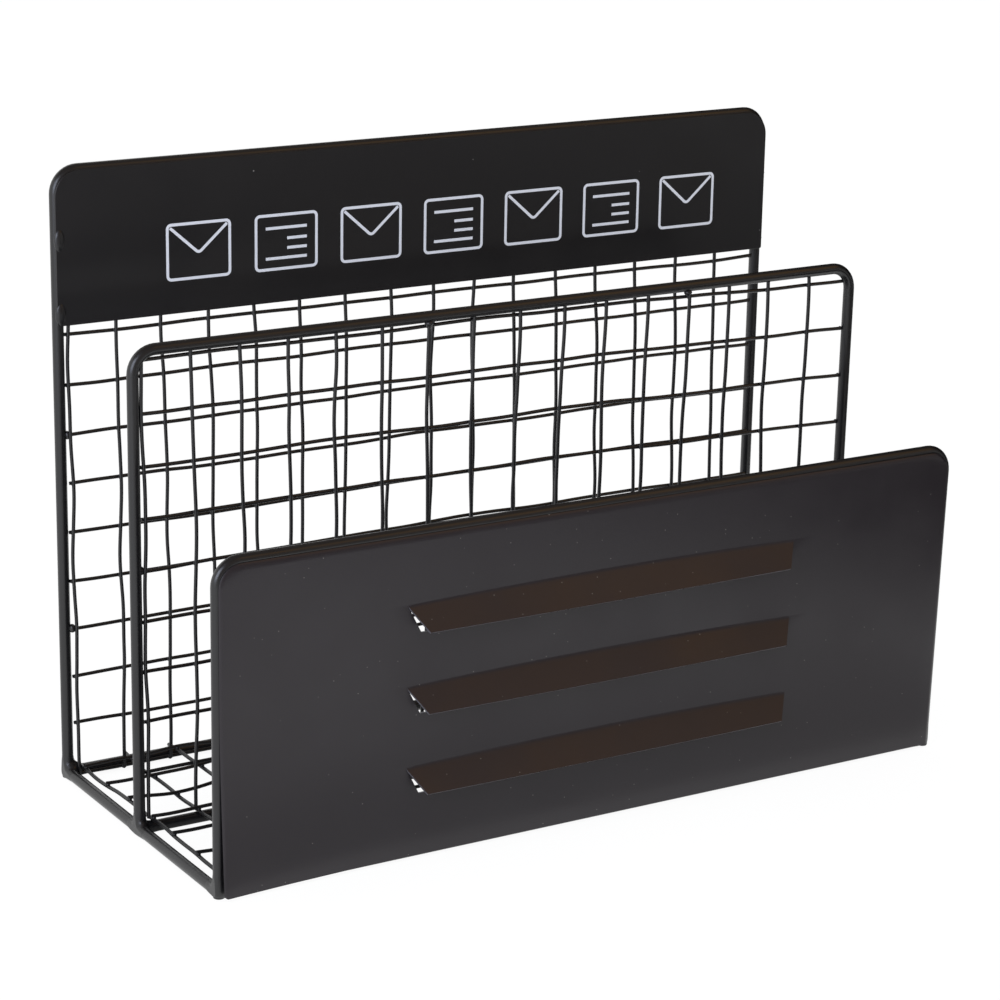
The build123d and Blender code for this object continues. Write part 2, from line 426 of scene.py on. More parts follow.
def carrier_mesh(name: str, points: Sequence[Sequence[float]],
                 edges: Sequence[tuple[int, int]] = ()) -> bpy.types.Mesh:
    """Make a mesh of bare points and edges for a shape tree.

    Args:
        name: Name of the mesh.
        points: Its points.
        edges: Numbers of the points that each edge joins.

    Returns:
        The new mesh.
    """
    mesh = bpy.data.meshes.new(f"{name}_carrier")
    mesh.from_pydata([tuple(point) for point in points], edges, [])
    return mesh


def line_carrier(name: str, runs: Sequence[tuple[Sequence[Sequence[float]], bool]]) -> bpy.types.Mesh:
    """Make a carrier of bare edges, one chain for each run of points.

    Args:
        name: Name of the mesh.
        runs: Points of each run, with whether it comes back to its first point.

    Returns:
        The new mesh.
    """
    points: list[Sequence[float]] = []
    edges: list[tuple[int, int]] = []
    for run, closed in runs:
        first = len(points)
        points.extend(run)
        edges.extend((first + step, first + step + 1) for step in range(len(run) - 1))
        if closed:
            edges.append((len(points) - 1, first))
    return carrier_mesh(name, points, edges)


def pull_foot_in(mesh: bpy.types.Mesh) -> None:
    """Lean the front right leg in towards its foot, with all that is welded to it, as the jig left it.

    Args:
        mesh: Mesh of a finished piece.
    """
    low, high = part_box("front_frame_rod")
    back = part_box("rear_frame_rod")[0].y
    for vertex in mesh.vertices:
        x, y, z = vertex.co
        across = clamp((x - low.x) / (high.x - low.x))
        forward = clamp((back - y) / (back - low.y))
        down = clamp(1 - z / high.z)
        vertex.co.x = x - FOOT_PULL * across * forward * down**FOOT_PULL_FADE


def hand_over(piece: bpy.types.Object, nodes: Sequence[str] = ()) -> None:
    """Tell the frame what a piece rides on and what it stands for.

    Args:
        piece: Finished piece.
        nodes: CAD nodes that the piece replaces.
    """
    pull_foot_in(piece.data)
    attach(piece, Body.RACK.value)
    if nodes:
        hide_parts(*nodes)
    stands_for = ", ".join(nodes) or "nothing"
    LOG.info("%s: %d points, in place of %s", piece.name, len(piece.data.vertices), stands_for)


def soften_edges(piece: bpy.types.Object, width: float) -> None:
    """Round the edges of a piece that turn by more than 50 degrees, as the coat rounds them.

    Args:
        piece: Piece to finish.
        width: Width of the rounding in metres.
    """
    bevel = piece.modifiers.new("coated_edges", "BEVEL")
    bevel.width = width
    bevel.segments = 2
    bevel.limit_method = "ANGLE"
    bevel.angle_limit = math.radians(50)
    bevel.harden_normals = True


@dataclass
class FrameRods:
    """The eight steel rods: three bent hoops, three floor rods and two side rails."""

    bend_radius: float = 9 * MM
    bend_points: int = 10
    sides: int = 24
    end_rounding: float = 0.5 * MM
    hoops: tuple[str, ...] = ("rear_frame_rod", "divider_frame_rod", "front_frame_rod")
    floor_rods: tuple[str, ...] = ("rear_bottom_rod", "divider_bottom_rod", "front_bottom_rod")
    rails: tuple[str, ...] = ("left_base_rail", "right_base_rail")

    def tree(self) -> ShapeTree:
        """Build the tree that rounds a path's corners and runs a rod along it.

        Returns:
            The finished tree.
        """
        shape = ShapeTree("bent_rod")
        bend = shape.size("Bend Radius")
        points = shape.size("Bend Points", SocketKind.COUNT)
        radius = shape.size("Rod Radius")
        sides = shape.size("Sides", SocketKind.COUNT)
        path = shape.add("GeometryNodeMeshToCurve", {"Mesh": shape.carrier})
        bent = shape.add("GeometryNodeFilletCurve", {
            "Curve": path, "Count": points, "Radius": bend}, mode="POLY")
        section = shape.add("GeometryNodeCurvePrimitiveCircle", {"Resolution": sides, "Radius": radius})
        rod = shape.add("GeometryNodeCurveToMesh", {
            "Curve": bent, "Profile Curve": section, "Fill Caps": True})
        shape.close(rod)
        return shape

    def hoop_path(self, node: str) -> tuple[list[Vector], float]:
        """Find the corners of a hoop's centre line from its CAD node.

        Args:
            node: Name of the hoop.

        Returns:
            Four corners from foot to foot, and the rod's radius.
        """
        low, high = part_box(node)
        radius = (high.y - low.y) / 2
        y = (high.y + low.y) / 2
        left, right, top = low.x + radius, high.x - radius, high.z - radius
        corners = [(left, y, low.z), (left, y, top), (right, y, top), (right, y, low.z)]
        return [Vector(corner) for corner in corners], radius

    def straight_path(self, node: str) -> tuple[list[Vector], float]:
        """Find the ends of a straight rod's centre line from its CAD node.

        Args:
            node: Name of the rod.

        Returns:
            Two ends, and the rod's radius.
        """
        low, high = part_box(node)
        size = high - low
        middle = (low + high) / 2
        axis = Vector((1, 0, 0)) if size.x > size.y else Vector((0, 1, 0))
        half = axis * (max(size.x, size.y) / 2)
        return [middle - half, middle + half], size.z / 2

    def build(self) -> None:
        """Make and hand over every rod."""
        shape = self.tree()
        for node in self.hoops + self.floor_rods + self.rails:
            path, radius = self.hoop_path(node) if node in self.hoops else self.straight_path(node)
            rod = shape.bake(f"coated_{node}", line_carrier(node, [(path, False)]), {
                "Bend Radius": self.bend_radius, "Bend Points": self.bend_points, "Rod Radius": radius,
                "Sides": self.sides, "Finish": ROD_COAT.material()})
            soften_edges(rod, self.end_rounding)
            hand_over(rod, [node])


@dataclass
class WireMesh:
    """One welded wire mesh: a row of wires along it, a row across it, and a small weld at each crossing.

    The wires sway in the plane of the mesh and bow out of it. Their ends sink into the rods that they are
    welded to. From lift_from to lift_to across the mesh, its tilt goes from left_lift to right_lift.
    """

    name: str
    along_node: str
    cross_prefix: str
    lie: Lie
    seed: float
    pitch: float = 20 * MM
    along_sway: float = 1.2 * MM
    cross_sway: float = 0.65 * MM
    left_lift: float = 0.0
    right_lift: float = 0.0
    lift_from: float = 20 * MM
    lift_to: float = 140 * MM
    foot_sink: float = 0.0
    bow: float = 0.2 * MM
    wave_length: float = 52 * MM
    point_spacing: float = 2.5 * MM
    crossing_radius: float = 0.95 * MM
    sink: float = 1.2 * MM
    sides: int = 8

    def tree(self) -> ShapeTree:
        """Build the tree that lays out both rows, bends them by one smooth field and welds the crossings.

        The mesh lies in the tree's XY plane, along Y and across X, and is turned to its place at the end. The
        carrier's points are the places of the cross wires.

        Returns:
            The finished tree.
        """
        shape = ShapeTree(f"{self.name}_wires")
        size = {name: shape.size(name) for name in (
            "First Along", "Along Low", "Along High", "Cross Left", "Cross Right", "Low Height",
            "High Height", "Layer Step", "Pitch", "Wire Radius", "Crossing Radius", "Point Spacing",
            "Wave Length", "Seed", "Left Lift", "Right Lift", "Lift From", "Lift To")}
        size |= {name: shape.size(name, SocketKind.VECTOR) for name in ("Waviness", "Turn")}
        size |= {name: shape.size(name, SocketKind.COUNT) for name in ("Along Count", "Sides")}
        step = size["Layer Step"]

        def row(start: dict, end: dict, places: Any) -> bpy.types.Node:
            """Repeat one straight wire at each of a row of places.

            Args:
                start: Sockets for the axes of the wire's first end.
                end: Sockets for the axes of its other end.
                places: Points of the row, as a node or a socket.

            Returns:
                Node that gives the wires as real curves.
            """
            ends = [shape.add("ShaderNodeCombineXYZ", axes) for axes in (start, end)]
            line = shape.add("GeometryNodeCurvePrimitiveLine", {"Start": ends[0], "End": ends[1]})
            fine = shape.add("GeometryNodeResampleCurve", {
                "Curve": line, "Length": size["Point Spacing"]}, mode="LENGTH")
            wires = shape.add("GeometryNodeInstanceOnPoints", {"Points": places, "Instance": fine})
            return shape.add("GeometryNodeRealizeInstances", {"Geometry": wires})

        along_places = shape.add("GeometryNodeMeshLine", {
            "Count": size["Along Count"],
            "Start Location": shape.add("ShaderNodeCombineXYZ", {"X": size["First Along"]}),
            "Offset": shape.add("ShaderNodeCombineXYZ", {"X": size["Pitch"]})})
        along = row({"Y": size["Along Low"]}, {"Y": size["Along High"]}, along_places)
        cross_ends = [{"X": size[name], "Z": step} for name in ("Cross Left", "Cross Right")]
        cross = row(*cross_ends, shape.carrier)
        grid = shape.add("GeometryNodeInstanceOnPoints", {"Points": along_places, "Instance": shape.carrier})
        crossings = shape.add("GeometryNodeRealizeInstances", {"Geometry": grid})

        here = shape.add("GeometryNodeInputPosition")
        axes = shape.add("ShaderNodeSeparateXYZ", {"Vector": here}).outputs
        sample = shape.add("ShaderNodeCombineXYZ", {"X": axes["X"], "Y": axes["Y"], "Z": size["Seed"]})
        per_metre = shape.add("ShaderNodeMath", {0: 1.0, 1: size["Wave Length"]}, operation="DIVIDE")
        noise = shape.add("ShaderNodeTexNoise", {
            "Vector": sample, "Scale": per_metre, "Detail": 1.0, "Roughness": 0.4})
        centred = shape.add("ShaderNodeVectorMath", {
            0: noise.outputs["Color"], 1: (0.5, 0.5, 0.5)}, operation="SUBTRACT")
        swing = shape.add("ShaderNodeVectorMath", {0: centred, 1: size["Waviness"]}, operation="MULTIPLY")
        lean = shape.add("ShaderNodeMapRange", {
            "Value": axes["Y"], "From Min": size["Along Low"], "From Max": size["Along High"],
            "To Min": size["Low Height"], "To Max": size["High Height"]}, clamp=False)
        lift = shape.add("ShaderNodeMapRange", {
            "Value": axes["X"], "From Min": size["Lift From"], "From Max": size["Lift To"],
            "To Min": size["Left Lift"], "To Max": size["Right Lift"]}, interpolation_type="SMOOTHSTEP")
        raised = shape.add("ShaderNodeCombineXYZ", {"Y": lift, "Z": lean})
        shift = shape.add("ShaderNodeVectorMath", {0: swing, 1: raised}, operation="ADD")

        wires = shape.add("GeometryNodeJoinGeometry", {"Geometry": [cross, along]})
        bent = shape.add("GeometryNodeSetPosition", {"Geometry": wires, "Offset": shift})
        section = shape.add("GeometryNodeCurvePrimitiveCircle", {
            "Resolution": size["Sides"], "Radius": size["Wire Radius"]})
        tubes = shape.add("GeometryNodeCurveToMesh", {
            "Curve": bent, "Profile Curve": section, "Fill Caps": True})

        half_step = shape.add("ShaderNodeMath", {0: step, 1: 0.5}, operation="MULTIPLY")
        outward = shape.add("ShaderNodeCombineXYZ", {"Z": half_step})
        between = shape.add("ShaderNodeVectorMath", {0: shift, 1: outward}, operation="ADD")
        spots = shape.add("GeometryNodeSetPosition", {"Geometry": crossings, "Offset": between})
        drop = shape.add("GeometryNodeMeshUVSphere", {
            "Segments": 8, "Rings": 6, "Radius": size["Crossing Radius"]})
        drops = shape.add("GeometryNodeInstanceOnPoints", {"Points": spots, "Instance": drop})
        mesh = shape.add("GeometryNodeJoinGeometry", {"Geometry": [drops, tubes]})
        shape.close(shape.add("GeometryNodeTransform", {"Geometry": mesh, "Rotation": size["Turn"]}))
        return shape

    def lift_at(self, x: float) -> float:
        """How far the tilt of the mesh lifts its wires at a place across it."""
        share = clamp((x - self.lift_from) / (self.lift_to - self.lift_from))
        return self.left_lift + (self.right_lift - self.left_lift) * share**2 * (3 - 2 * share)

    def build(self) -> None:
        """Measure the CAD wires, lay the mesh out over them and hand it over."""
        standing = self.lie is Lie.STANDING
        low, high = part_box(self.along_node)
        nodes = sorted(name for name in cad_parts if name.startswith(self.cross_prefix))
        boxes = [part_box(node) for node in nodes]
        radius = (boxes[0][1].z - boxes[0][0].z) / 2
        middles = [(corner_low + corner_high) / 2 for corner_low, corner_high in boxes]
        first = low.x + radius
        count = round((high.x - radius - first) / self.pitch) + 1
        if standing:
            span = (low.z, high.z)
            heights = (-(low.y + radius), -(high.y - radius))
            lowest = min(middles, key=lambda middle: middle.z)
            share = (lowest.z - span[0]) / (span[1] - span[0])
            step = -lowest.y - (heights[0] + (heights[1] - heights[0]) * share)
            places = [middle.z for middle in middles]
        else:
            span = (low.y, high.y)
            heights = ((low.z + high.z) / 2,) * 2
            step = middles[0].z - heights[0]
            places = [middle.y for middle in middles]
        mesh = self.tree().bake(self.name, carrier_mesh(self.name, [(0.0, place, 0.0) for place in places]), {
            "First Along": first, "Along Low": span[0] - self.foot_sink,
            "Along High": span[1] + (self.sink if standing else 0.0),
            "Cross Left": min(corner[0].x for corner in boxes),
            "Cross Right": max(corner[1].x for corner in boxes) + self.sink,
            "Low Height": heights[0], "High Height": heights[1], "Layer Step": step, "Pitch": self.pitch,
            "Wire Radius": radius, "Crossing Radius": self.crossing_radius, "Seed": self.seed,
            "Point Spacing": self.point_spacing, "Wave Length": self.wave_length, "Left Lift": self.left_lift,
            "Right Lift": self.right_lift, "Lift From": self.lift_from, "Lift To": self.lift_to,
            "Along Count": count, "Sides": self.sides,
            "Waviness": [sway / NOISE_REACH for sway in (self.along_sway, self.cross_sway, self.bow)],
            "Turn": (math.pi / 2 if standing else 0.0, 0.0, 0.0), "Finish": WIRE_COAT.material()})
        hand_over(mesh, [self.along_node, *nodes])


@dataclass
class SignPanel:
    """Plain sheet across the top of the rear hoop, with a row of envelopes and papers drawn in white ink.

    The heights and starts of a paper's lines, the dip of an envelope's flap and a paper's margin are shares
    of the picture, and a picture is a share of its cell.
    """

    low: Vector = field(init=False)
    high: Vector = field(init=False)
    corner_radius: float = 10.3 * MM
    corner_points: int = 12
    foot_radius: float = 0.8 * MM
    edge_rounding: float = 0.25 * MM
    stroke: float = 1.15 * MM
    ink_film: float = 0.05 * MM
    print_left: float = -118 * MM
    print_right: float = 137 * MM
    print_low: float = 197.5 * MM
    print_height: float = 21.5 * MM
    pictures: int = 7
    picture_share: float = 0.7
    flap_dip: float = 0.55
    paper_margin: float = 0.16
    paper_lines: tuple[tuple[float, float], ...] = ((0.76, 0.0), (0.56, 0.52), (0.38, 0.52), (0.2, 0.0))
    line_bend: float = 1.6 * MM
    line_bend_points: int = 5

    def __post_init__(self) -> None:
        """Measure the CAD sheet."""
        self.low, self.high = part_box("sign_panel")

    def outline(self) -> list[tuple[float, float]]:
        """Trace the sheet's edge, seen from the front.

        Returns:
            Points as X and Z, in order round the edge.
        """
        low, high = self.low, self.high
        corners = [
            (high.x, high.z, self.corner_radius, 0.0), (low.x, high.z, self.corner_radius, 0.5),
            (low.x, low.z, self.foot_radius, 1.0), (high.x, low.z, self.foot_radius, 1.5)]
        points = []
        for x, z, radius, start in corners:
            centre_x = x - math.copysign(radius, x)
            centre_z = z - radius if z == high.z else z + radius
            for step in range(self.corner_points + 1):
                angle = math.pi * (start + step / self.corner_points / 2)
                points.append((centre_x + radius * math.cos(angle), centre_z + radius * math.sin(angle)))
        return points

    def build(self) -> None:
        """Make the sheet and its print."""
        shape = bmesh.new()
        outline = self.outline()
        front, back = ([shape.verts.new((x, y, z)) for x, z in outline] for y in (self.low.y, self.high.y))
        shape.faces.new(front)
        shape.faces.new(reversed(back))
        for near, far, next_far, next_near in zip(front, back, back[1:] + back[:1], front[1:] + front[:1]):
            shape.faces.new((near, far, next_far, next_near))
        bmesh.ops.recalc_face_normals(shape, faces=shape.faces)
        sheet = mesh_piece("coated_sign_panel", shape, SIGN_COAT)
        soften_edges(sheet, self.edge_rounding)
        hand_over(sheet, ["sign_panel"])
        self.print_pictures()

    def picture(self, number: int, left: float, width: float) -> list[tuple[list[Point], bool]]:
        """Draw one picture of the print as runs of points: an envelope or a folded paper in turn.

        Args:
            number: Place of the picture in the row, from zero.
            left: Left side of the picture.
            width: Width of the picture.

        Returns:
            Runs of points on the flat, with whether each is closed.
        """
        low, top, right = self.print_low, self.print_low + self.print_height, left + width
        runs = [([(left, low, 0.0), (right, low, 0.0), (right, top, 0.0), (left, top, 0.0)], True)]
        if number % 2 == 0:
            shoulder = top - self.stroke
            dip = top - self.flap_dip * self.print_height
            runs.append(([(left + self.stroke, shoulder, 0.0), ((left + right) / 2, dip, 0.0),
                          (right - self.stroke, shoulder, 0.0)], False))
            return runs
        margin = self.paper_margin * width
        for rise, start in self.paper_lines:
            z = low + rise * self.print_height
            first = left + margin + start * (width - 2 * margin)
            runs.append(([(first, z, 0.0), (right - margin, z, 0.0)], False))
        return runs

    def print_pictures(self) -> None:
        """Print the row of pictures on the sheet's front."""
        shape = ShapeTree("ink_lines")
        bend, stroke, film = (shape.size(name) for name in ("Line Bend", "Stroke", "Film"))
        turn, shift = (shape.size(name, SocketKind.VECTOR) for name in ("Turn", "Shift"))
        path = shape.add("GeometryNodeMeshToCurve", {"Mesh": shape.carrier})
        bent = shape.add("GeometryNodeFilletCurve", {
            "Curve": path, "Count": self.line_bend_points, "Radius": bend, "Limit Radius": True}, mode="POLY")
        level = shape.add("GeometryNodeSetCurveNormal", {"Curve": bent}, mode="Z_UP")
        section = shape.add("GeometryNodeCurvePrimitiveQuadrilateral", {"Width": stroke, "Height": film})
        lines = shape.add("GeometryNodeCurveToMesh", {
            "Curve": level, "Profile Curve": section, "Fill Caps": True})
        shape.close(shape.add("GeometryNodeTransform", {
            "Geometry": lines, "Rotation": turn, "Translation": shift}))
        cell = (self.print_right - self.print_left) / (self.pictures - 1 + self.picture_share)
        runs = [run for number in range(self.pictures) for run in
                self.picture(number, self.print_left + number * cell, self.picture_share * cell)]
        ink = shape.bake("sign_print", line_carrier("sign_print", runs), {
            "Line Bend": self.line_bend, "Stroke": self.stroke, "Film": self.ink_film,
            "Turn": (math.pi / 2, 0.0, 0.0), "Shift": (0.0, self.low.y - self.ink_film / 2, 0.0),
            "Finish": SIGN_INK.material()})
        ink.data.shade_flat()
        hand_over(ink)


@dataclass
class LouvrePanel:
    """Sheet across the front hoop, with three louvres cut on three sides and pressed out of it.

    The columns beside the louvres are shares of the way to the sheet's edge, and those on the rolled border
    are shares of its width. The foot rows are heights above the round lower corners.
    """

    low: Vector = field(init=False)
    high: Vector = field(init=False)
    thickness: float = 0.9 * MM
    corner_radius: float = 9 * MM
    foot_radius: float = 1.5 * MM
    corner_points: int = 8
    side_columns: tuple[float, ...] = (0.12, 0.35, 0.65, 0.9)
    roll_columns: tuple[float, ...] = (1.0, 0.7, 0.42, 0.2, 0.0)
    foot_rows: tuple[float, ...] = (6 * MM, 12 * MM)
    louvres: int = 3
    louvre_top: float = 100.2 * MM
    louvre_pitch: float = 31.5 * MM
    louvre_half_length: float = 87 * MM
    louvre_end_slant: float = 5.8 * MM
    louvre_flap: float = 11.5 * MM
    louvre_reach: float = 7.1 * MM
    slot_lift: float = 0.4 * MM
    bend_radius: float = 1.0 * MM
    bend_rise: float = 1.3 * MM
    bend_row: float = 0.3 * MM
    flat_row: float = 3.25 * MM
    flap_rows: int = 12
    flap_columns: int = 48
    edge_rounding: float = 0.3 * MM
    roll: float = 0.7 * MM
    roll_width: float = 1.7 * MM
    gape: float = 3.2 * MM
    gape_height: float = 62 * MM
    gape_width: float = 80 * MM
    gape_fade_across: float = 2.0
    gape_fade_up: float = 1.2

    def __post_init__(self) -> None:
        """Measure the CAD sheet."""
        self.low, self.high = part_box("front_panel")

    @property
    def face_y(self) -> float:
        """Y of the sheet's front face."""
        return self.high.y - self.thickness

    def columns(self) -> list[float]:
        """List the sheet's columns, close together over the louvres.

        Returns:
            X of each column on a row that no corner narrows.
        """
        reach, half_width = self.louvre_half_length, self.high.x
        outer = [reach + share * (half_width - reach) for share in self.side_columns]
        outer += [half_width - share * self.roll_width for share in self.roll_columns]
        inner = [reach * (2 * step / self.flap_columns - 1) for step in range(self.flap_columns + 1)]
        return [-x for x in reversed(outer)] + inner + outer

    def rows(self) -> list[float]:
        """List the heights of the sheet's rows, with a bend line and a lip line for each louvre.

        Returns:
            Heights from the bottom up.
        """
        foot, shoulder = self.low.z + self.foot_radius, self.high.z - self.corner_radius
        heights = [foot + rise for rise in self.foot_rows]
        for number in range(self.louvres):
            line = self.bend_line(number)
            heights += [self.slot_foot(number), line, line + self.bend_row, line + self.flat_row]
        for step in range(self.corner_points + 1):
            turned = math.sin(math.pi / 2 * step / self.corner_points)
            heights += [shoulder + self.corner_radius * turned, foot - self.foot_radius * turned]
        return sorted(heights)

    def bend_line(self, number: int) -> float:
        """Height of the bend line of one louvre, counted from the top."""
        return self.louvre_top - number * self.louvre_pitch

    def slot_foot(self, number: int) -> float:
        """Height of the lower edge of one louvre's slot, counted from the top."""
        return self.bend_line(number) - self.louvre_flap + self.slot_lift

    def edge(self, z: float) -> float:
        """Find the sheet's side edge at a height, with its round corners.

        Args:
            z: Height.

        Returns:
            X of the right edge.
        """
        upper = max(0.0, z - (self.high.z - self.corner_radius))
        lower = max(0.0, self.low.z + self.foot_radius - z)
        radius, past = (self.foot_radius, lower) if lower > 0 else (self.corner_radius, upper)
        return self.high.x - radius + math.sqrt(max(0.0, radius**2 - past**2))

    def spread(self, column: float, z: float) -> float:
        """Move a column sideways so that the louvres' ends slant and the sheet's corners are round.

        Args:
            column: X of the column before the move.
            z: Height of the row.

        Returns:
            X on that row.
        """
        on_foot = any(abs(z - self.slot_foot(number)) < TOUCH for number in range(self.louvres))
        reach = self.louvre_half_length
        cut = reach - (self.louvre_end_slant if on_foot else 0.0)
        if abs(column) <= reach:
            return column * cut / reach
        share = (abs(column) - reach) / (self.high.x - reach)
        return math.copysign(cut + share * (self.edge(z) - cut), column)

    def rise(self, column: float) -> float:
        """How far the press has lifted the bend line at a column."""
        return self.bend_rise * max(0.0, 1 - (column / self.louvre_half_length) ** 2)

    def flap_point(self, column: float, share: float, line: float) -> Vector:
        """Find a point of a pressed-out louvre.

        Args:
            column: X at the bend line.
            share: Part of the way from the bend line to the lip.
            line: Height of the bend line at the louvre's ends.

        Returns:
            The point in the rack's frame.
        """
        length = self.louvre_flap + self.rise(column)
        along = share * length
        arc = min(along, self.bend_radius * math.asin(self.louvre_reach / length))
        turned = arc / self.bend_radius
        beyond = along - arc
        out = self.bend_radius * (1 - math.cos(turned)) + beyond * math.sin(turned)
        down = self.bend_radius * math.sin(turned) + beyond * math.cos(turned)
        x = column * (1 - share * self.louvre_end_slant / self.louvre_half_length)
        return Vector((x, self.face_y - out, line + self.rise(column) - down))

    def stand_off(self, x: float, z: float) -> float:
        """Find how far the sheet's lower left corner gapes from its leg.

        Args:
            x: Place across the sheet.
            z: Height.

        Returns:
            Distance towards the front.
        """
        across = max(0.0, 1 - (x + self.high.x) / self.gape_width)
        upward = max(0.0, 1 - z / self.gape_height)
        return self.gape * across**self.gape_fade_across * upward**self.gape_fade_up

    def border_roll(self, x: float, z: float) -> float:
        """Find how far the coat rounds the sheet's border back onto the rod behind it.

        Args:
            x: Place across the sheet.
            z: Height.

        Returns:
            Distance towards the back.
        """
        past_x = abs(x) - (self.high.x - self.corner_radius)
        past_z = z - (self.high.z - self.corner_radius)
        past = math.hypot(past_x, past_z) if past_x > 0 and past_z > 0 else max(past_x, past_z)
        return self.roll * max(0.0, 1 - max(0.0, self.corner_radius - past) / self.roll_width) ** 2

    def draw_sheet(self, shape: bmesh.types.BMesh, columns: list[float],
                   rows: list[float]) -> list[list[bmesh.types.BMVert]]:
        """Draw the sheet with its slots left open.

        Args:
            shape: Shape that takes the sheet.
            columns: X of each column.
            rows: Height of each row.

        Returns:
            Points of the sheet, row by row.
        """
        lines = [self.bend_line(number) for number in range(self.louvres)]
        reach = self.louvre_half_length + TOUCH
        grid = []
        for z in rows:
            on_line = min(abs(z - line - self.bend_row / 2) for line in lines) < self.bend_row
            row = []
            for column in columns:
                lift = self.rise(column) if on_line and abs(column) < reach else 0.0
                x = self.spread(column, z)
                y = self.face_y + self.border_roll(x, z) - self.stand_off(x, z)
                row.append(shape.verts.new((x, y, z + lift)))
            grid.append(row)
        for z, lower, upper in zip(rows[1:], grid, grid[1:]):
            is_slot = min(abs(z - line) for line in lines) < TOUCH
            for step in range(len(columns) - 1):
                if is_slot and max(abs(columns[step]), abs(columns[step + 1])) < reach:
                    continue
                shape.faces.new((lower[step], lower[step + 1], upper[step + 1], upper[step]))
        return grid

    def build(self) -> None:
        """Make the sheet with its louvres and hand it over."""
        shape = bmesh.new()
        columns, rows = self.columns(), self.rows()
        grid = self.draw_sheet(shape, columns, rows)
        inner = [step for step, column in enumerate(columns) if abs(column) < self.louvre_half_length + TOUCH]
        for line in (self.bend_line(number) for number in range(self.louvres)):
            place = min(range(len(rows)), key=lambda number: abs(rows[number] - line))
            above = [grid[place][step] for step in inner]
            for row_number in range(1, self.flap_rows + 1):
                share = row_number / self.flap_rows
                below = [shape.verts.new(self.flap_point(columns[step], share, line)) for step in inner]
                for step in range(len(inner) - 1):
                    shape.faces.new((below[step], below[step + 1], above[step + 1], above[step]))
                above = below
        sheet = mesh_piece("coated_front_panel", shape, FRONT_COAT, CUT_EDGE_HIGHLIGHT_COAT)
        wall = sheet.modifiers.new("sheet_thickness", "SOLIDIFY")
        # The rim faces, which are the sheet's cut edges, take the second coat: a painted highlight
        wall.material_offset_rim = 1
        wall.thickness = self.thickness
        wall.offset = -1.0
        wall.use_even_offset = True
        soften_edges(sheet, self.edge_rounding)
        hand_over(sheet, ["front_panel"])


